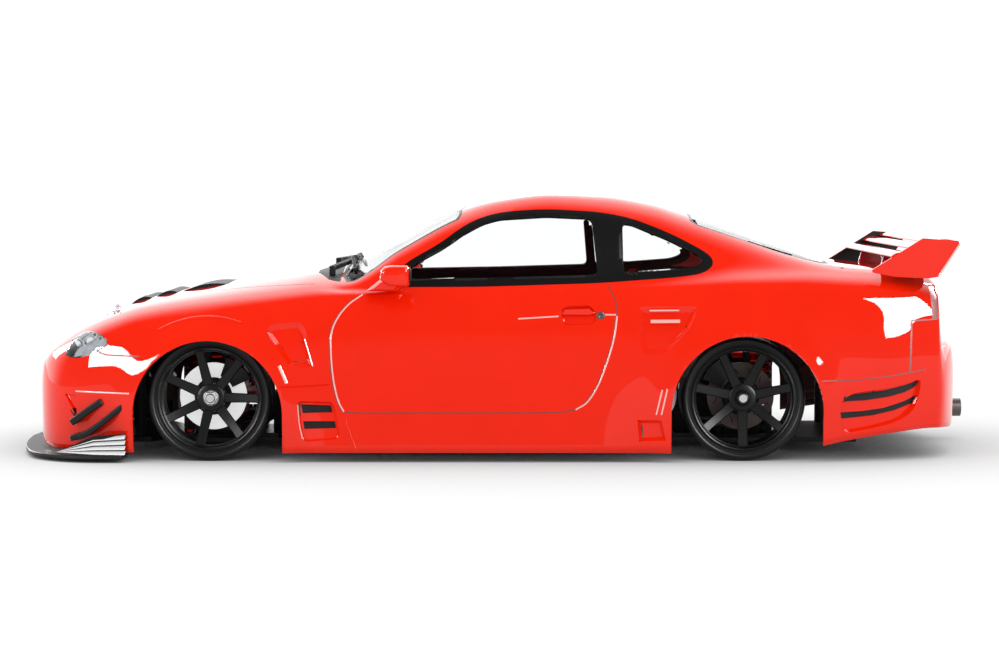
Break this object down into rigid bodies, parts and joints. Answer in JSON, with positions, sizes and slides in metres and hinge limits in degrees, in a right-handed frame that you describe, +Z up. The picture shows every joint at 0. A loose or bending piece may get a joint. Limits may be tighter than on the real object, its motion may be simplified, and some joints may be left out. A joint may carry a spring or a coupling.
{
  "type": "rc drift car",
  "caption": "Radio control drift coupe: a lift-off painted shell with wing and splitter over a shaft-steered, rear-driven chassis with sprung arms and blade-spoke wheels.",
  "frame": {"origin": "centre of the bounding box on the ground under the tyres", "axes": "+X to the rear of the car, -Y to its left side, +Z up"},
  "size_m": [0.482, 0.208, 0.1274],
  "materials": {
    "red_shell": "painted polycarbonate, glossy",
    "clear_panes": "clear polycarbonate",
    "black_trim": "satin black moulding",
    "lamp_front": "clear lens over a bright bucket",
    "lamp_rear": "deep red lens",
    "chrome_trim": "bright plating",
    "tyre_rubber": "hard plastic drift compound, satin",
    "rim_black": "satin black moulding",
    "axle_steel": "machined steel",
    "bright_alloy": "satin machined",
    "red_alloy": "red anodised",
    "carbon_plate": "woven composite plate",
    "nylon_black": "moulded nylon",
    "pack_sleeve": "shrink sleeve",
    "foam_black": "closed cell foam",
    "wing_red": "painted and glossy"
  },
  "bodies": {
    "shell": {"body_shell": "red_shell", "window_panes": "clear_panes", "window_frames": "black_trim", "headlights": "lamp_front", "tail_lights": "lamp_rear", "bonnet_fittings": "black_trim", "front_splitter": "black_trim", "bumper_canards": "black_trim", "splitter_fins": "chrome_trim", "side_mirrors": "red_shell", "wing_slats": "wing_red", "wing_end_plates": "wing_red", "exhaust_tip": "chrome_trim"},
    "chassis": {"chassis_plate": "carbon_plate", "front_bulkhead": "red_alloy", "rear_gearbox": "nylon_black", "upper_deck": "carbon_plate", "shock_towers": "carbon_plate", "body_posts": "nylon_black", "battery_pack": "pack_sleeve", "electronics": "nylon_black", "steering_servo": "nylon_black", "bumper_foam": "foam_black", "motor_can": "bright_alloy", "shock_absorbers": "red_alloy"},
    "rack": {"steering_rack": "red_alloy"},
    "horn": {"servo_horn": "red_alloy"},
    "spool": {"diff_spool": "axle_steel"},
    "layshaft": {"layshaft": "axle_steel"},
    "pinion": {"motor_pinion": "axle_steel"},
    "arm_front_left_body": {"arm_front_left": "nylon_black"},
    "link_front_left_body": {"link_front_left": "red_alloy"},
    "shock_front_left_body": {"shock_shaft_front_left": "axle_steel"},
    "wheel_front_left": {"tyre_front_left": "tyre_rubber", "rim_front_left": "rim_black", "axle_front_left": "axle_steel"},
    "carrier_front_left": {"hub_front_left": "nylon_black"},
    "knuckle_front_left_body": {"knuckle_front_left": "nylon_black"},
    "arm_front_right_body": {"arm_front_right": "nylon_black"},
    "link_front_right_body": {"link_front_right": "red_alloy"},
    "shock_front_right_body": {"shock_shaft_front_right": "axle_steel"},
    "wheel_front_right": {"tyre_front_right": "tyre_rubber", "rim_front_right": "rim_black", "axle_front_right": "axle_steel"},
    "carrier_front_right": {"hub_front_right": "nylon_black"},
    "knuckle_front_right_body": {"knuckle_front_right": "nylon_black"},
    "arm_rear_left_body": {"arm_rear_left": "nylon_black"},
    "link_rear_left_body": {"link_rear_left": "red_alloy"},
    "shock_rear_left_body": {"shock_shaft_rear_left": "axle_steel"},
    "wheel_rear_left": {"tyre_rear_left": "tyre_rubber", "rim_rear_left": "rim_black", "axle_rear_left": "axle_steel"},
    "carrier_rear_left": {"hub_rear_left": "nylon_black"},
    "arm_rear_right_body": {"arm_rear_right": "nylon_black"},
    "link_rear_right_body": {"link_rear_right": "red_alloy"},
    "shock_rear_right_body": {"shock_shaft_rear_right": "axle_steel"},
    "wheel_rear_right": {"tyre_rear_right": "tyre_rubber", "rim_rear_right": "rim_black", "axle_rear_right": "axle_steel"},
    "carrier_rear_right": {"hub_rear_right": "nylon_black"}
  },
  "joints": [
    {"name": "shell_lift", "type": "slide", "parent": "chassis", "child": "shell", "axis": [0, 0, 1], "range_m": [0, 0.12]},
    {"name": "arm_front_left_pivot", "type": "hinge", "parent": "chassis", "child": "arm_front_left_body", "pos_m": [-0.1395, -0.018, 0.012], "axis": [-1, 0, 0], "range_deg": [-3, 2.2], "stiffness_Nm_per_rad": 1.5, "springref_deg": -4.98},
    {"name": "carrier_front_left_pivot", "type": "hinge", "parent": "arm_front_left_body", "child": "carrier_front_left", "pos_m": [-0.1395, -0.054, 0.012], "axis": [-1, 0, 0], "range_deg": [-2.5, 3.3]},
    {"name": "link_front_left_pivot", "type": "hinge", "parent": "chassis", "child": "link_front_left_body", "pos_m": [-0.1395, -0.018, 0.048], "axis": [-1, 0, 0], "range_deg": [-3.3, 2.5]},
    {"name": "shock_front_left_slide", "type": "slide", "parent": "chassis", "child": "shock_front_left_body", "axis": [0, 0.2604, 0.9655], "range_m": [-0.00139, 0.00107]},
    {"name": "steer_left", "type": "hinge", "parent": "carrier_front_left", "child": "knuckle_front_left_body", "pos_m": [-0.1395, -0.062, 0.03], "axis": [0, 0, 1], "range_deg": [-23, 23]},
    {"name": "spin_front_left", "type": "hinge", "parent": "knuckle_front_left_body", "child": "wheel_front_left", "pos_m": [-0.1395, -0.079, 0.03], "axis": [0, 1, 0], "continuous": true},
    {"name": "arm_front_right_pivot", "type": "hinge", "parent": "chassis", "child": "arm_front_right_body", "pos_m": [-0.1395, 0.018, 0.012], "axis": [1, 0, 0], "range_deg": [-3, 2.2], "stiffness_Nm_per_rad": 1.5, "springref_deg": -4.98},
    {"name": "carrier_front_right_pivot", "type": "hinge", "parent": "arm_front_right_body", "child": "carrier_front_right", "pos_m": [-0.1395, 0.054, 0.012], "axis": [1, 0, 0], "range_deg": [-2.5, 3.3]},
    {"name": "link_front_right_pivot", "type": "hinge", "parent": "chassis", "child": "link_front_right_body", "pos_m": [-0.1395, 0.018, 0.048], "axis": [1, 0, 0], "range_deg": [-3.3, 2.5]},
    {"name": "shock_front_right_slide", "type": "slide", "parent": "chassis", "child": "shock_front_right_body", "axis": [0, -0.2604, 0.9655], "range_m": [-0.00139, 0.00107]},
    {"name": "steer_right", "type": "hinge", "parent": "carrier_front_right", "child": "knuckle_front_right_body", "pos_m": [-0.1395, 0.062, 0.03], "axis": [0, 0, 1], "range_deg": [-23.3, 23.3]},
    {"name": "spin_front_right", "type": "hinge", "parent": "knuckle_front_right_body", "child": "wheel_front_right", "pos_m": [-0.1395, 0.079, 0.03], "axis": [0, 1, 0], "continuous": true},
    {"name": "arm_rear_left_pivot", "type": "hinge", "parent": "chassis", "child": "arm_rear_left_body", "pos_m": [0.1175, -0.018, 0.012], "axis": [-1, 0, 0], "range_deg": [-3, 2.2], "stiffness_Nm_per_rad": 1.5, "springref_deg": -4.98},
    {"name": "carrier_rear_left_pivot", "type": "hinge", "parent": "arm_rear_left_body", "child": "carrier_rear_left", "pos_m": [0.1175, -0.054, 0.012], "axis": [-1, 0, 0], "range_deg": [-2.5, 3.3]},
    {"name": "link_rear_left_pivot", "type": "hinge", "parent": "chassis", "child": "link_rear_left_body", "pos_m": [0.1175, -0.018, 0.048], "axis": [-1, 0, 0], "range_deg": [-3.3, 2.5]},
    {"name": "shock_rear_left_slide", "type": "slide", "parent": "chassis", "child": "shock_rear_left_body", "axis": [0, 0.2604, 0.9655], "range_m": [-0.00139, 0.00107]},
    {"name": "spin_rear_left", "type": "hinge", "parent": "carrier_rear_left", "child": "wheel_rear_left", "pos_m": [0.1175, -0.079, 0.03], "axis": [0, 1, 0], "continuous": true},
    {"name": "arm_rear_right_pivot", "type": "hinge", "parent": "chassis", "child": "arm_rear_right_body", "pos_m": [0.1175, 0.018, 0.012], "axis": [1, 0, 0], "range_deg": [-3, 2.2], "stiffness_Nm_per_rad": 1.5, "springref_deg": -4.98},
    {"name": "carrier_rear_right_pivot", "type": "hinge", "parent": "arm_rear_right_body", "child": "carrier_rear_right", "pos_m": [0.1175, 0.054, 0.012], "axis": [1, 0, 0], "range_deg": [-2.5, 3.3]},
    {"name": "link_rear_right_pivot", "type": "hinge", "parent": "chassis", "child": "link_rear_right_body", "pos_m": [0.1175, 0.018, 0.048], "axis": [1, 0, 0], "range_deg": [-3.3, 2.5]},
    {"name": "shock_rear_right_slide", "type": "slide", "parent": "chassis", "child": "shock_rear_right_body", "axis": [0, -0.2604, 0.9655], "range_m": [-0.00139, 0.00107]},
    {"name": "spin_rear_right", "type": "hinge", "parent": "carrier_rear_right", "child": "wheel_rear_right", "pos_m": [0.1175, 0.079, 0.03], "axis": [0, 1, 0], "continuous": true},
    {"name": "rack_slide", "type": "slide", "parent": "chassis", "child": "rack", "axis": [0, 1, 0], "range_m": [-0.00582, 0.00582]},
    {"name": "servo_turn", "type": "hinge", "parent": "chassis", "child": "horn", "pos_m": [-0.1195, 0, 0.016], "axis": [-1, 0, 0], "range_deg": [-23.3, 23.3]},
    {"name": "spool_spin", "type": "hinge", "parent": "chassis", "child": "spool", "pos_m": [0.1175, 0, 0.03], "axis": [0, 1, 0], "continuous": true},
    {"name": "layshaft_spin", "type": "hinge", "parent": "chassis", "child": "layshaft", "pos_m": [0.0935, 0, 0.03], "axis": [0, 1, 0], "continuous": true},
    {"name": "pinion_spin", "type": "hinge", "parent": "chassis", "child": "pinion", "pos_m": [0.0695, 0, 0.03], "axis": [0, 1, 0], "continuous": true}
  ],
  "couplings": [
    {"joint": "carrier_front_left_pivot", "follows": "arm_front_left_pivot", "ratio": -1},
    {"joint": "link_front_left_pivot", "follows": "arm_front_left_pivot", "ratio": 1},
    {"joint": "shock_front_left_slide", "follows": "arm_front_left_pivot", "m_per_rad": 0.022673},
    {"joint": "carrier_front_right_pivot", "follows": "arm_front_right_pivot", "ratio": -1},
    {"joint": "link_front_right_pivot", "follows": "arm_front_right_pivot", "ratio": 1},
    {"joint": "shock_front_right_slide", "follows": "arm_front_right_pivot", "m_per_rad": 0.022673},
    {"joint": "carrier_rear_left_pivot", "follows": "arm_rear_left_pivot", "ratio": -1},
    {"joint": "link_rear_left_pivot", "follows": "arm_rear_left_pivot", "ratio": 1},
    {"joint": "shock_rear_left_slide", "follows": "arm_rear_left_pivot", "m_per_rad": 0.022673},
    {"joint": "carrier_rear_right_pivot", "follows": "arm_rear_right_pivot", "ratio": -1},
    {"joint": "link_rear_right_pivot", "follows": "arm_rear_right_pivot", "ratio": 1},
    {"joint": "shock_rear_right_slide", "follows": "arm_rear_right_pivot", "m_per_rad": 0.022673},
    {"joint": "steer_right", "follows": "steer_left", "ratio": 1},
    {"joint": "rack_slide", "follows": "steer_left", "m_per_rad": 0.014},
    {"joint": "servo_turn", "follows": "steer_left", "ratio": 1},
    {"joint": "spin_rear_right", "follows": "spin_rear_left", "ratio": 1},
    {"joint": "spool_spin", "follows": "spin_rear_left", "ratio": 1},
    {"joint": "layshaft_spin", "follows": "spin_rear_left", "ratio": -2},
    {"joint": "pinion_spin", "follows": "spin_rear_left", "ratio": 6}
  ]
}
